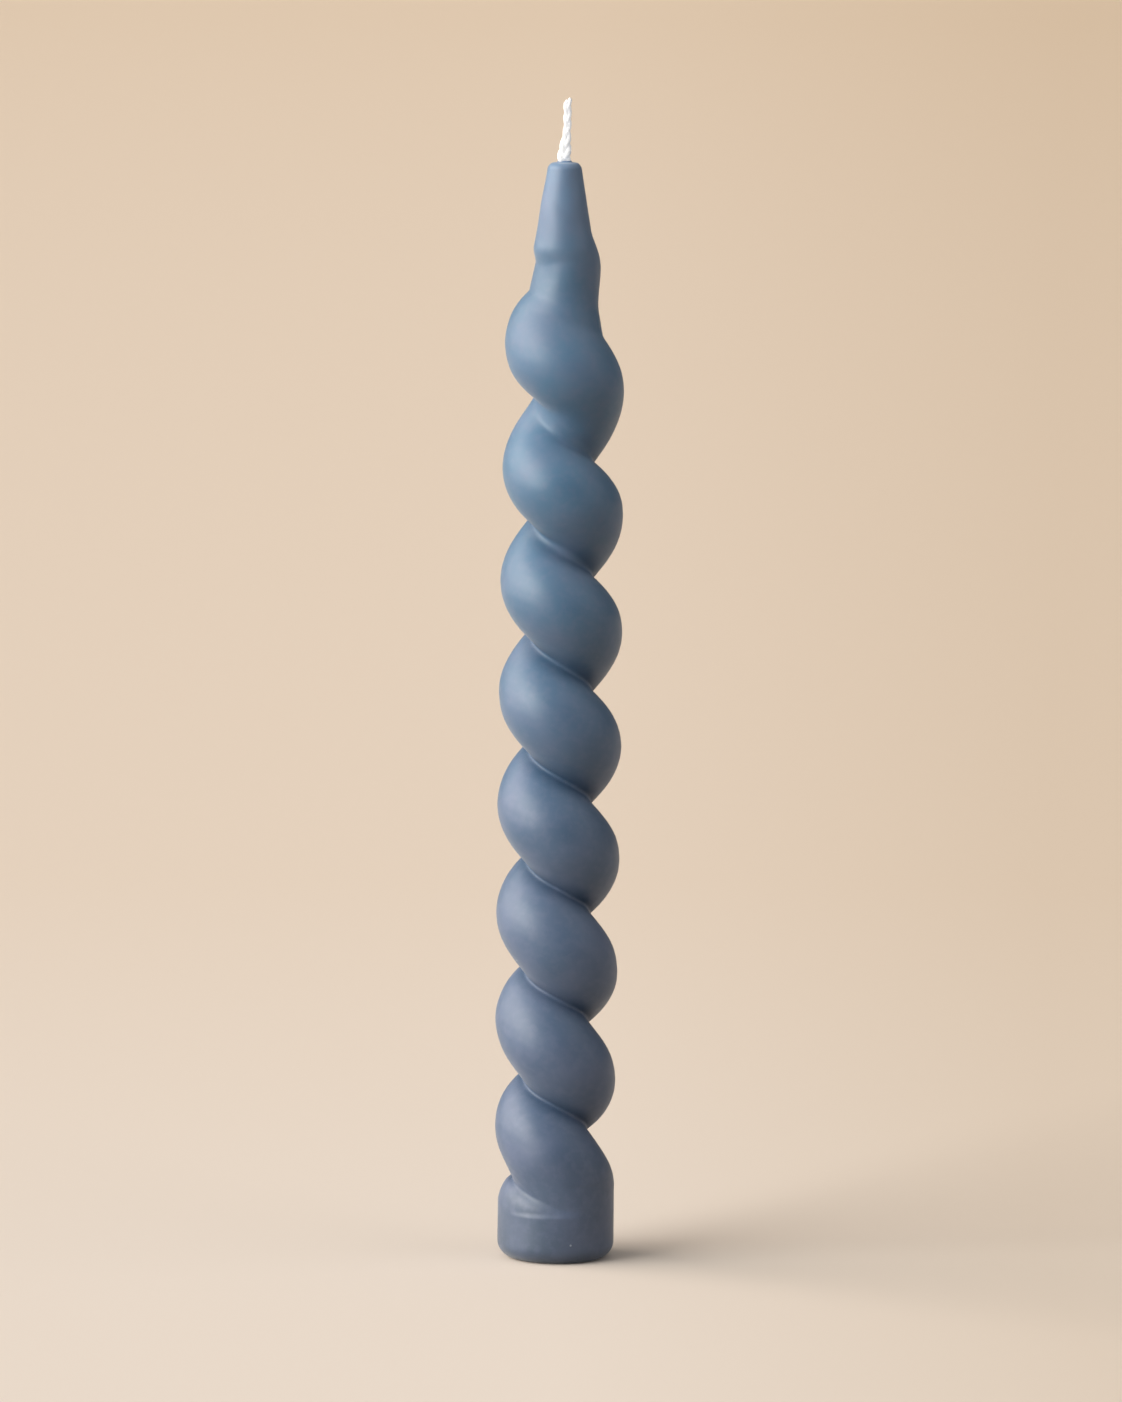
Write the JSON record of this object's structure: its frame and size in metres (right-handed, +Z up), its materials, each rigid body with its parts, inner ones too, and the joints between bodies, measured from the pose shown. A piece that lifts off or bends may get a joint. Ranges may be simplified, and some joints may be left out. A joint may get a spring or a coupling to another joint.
{
  "type": "twisted taper candle",
  "caption": "Slim taper candle cast as a left-hand coiled rope, on a plain round foot, with a cone tip and a plaited cotton wick.",
  "frame": {"origin": "centre of the foot's flat underside, on the candle's axis", "axes": "+Z up along the candle's axis, from the foot to the wick; +X to the right and -Y towards the viewer in the reference view"},
  "size_m": [0.0232, 0.0231, 0.2192],
  "materials": {
    "dyed_wax": "satin, dusty blue, moulded, slightly translucent",
    "wick_cotton": "matt, white, plaited and primed with wax"
  },
  "bodies": {
    "root": {"wax_body": "dyed_wax", "wick_strand_1": "wick_cotton", "wick_strand_2": "wick_cotton", "wick_strand_3": "wick_cotton"}
  },
  "joints": []
}
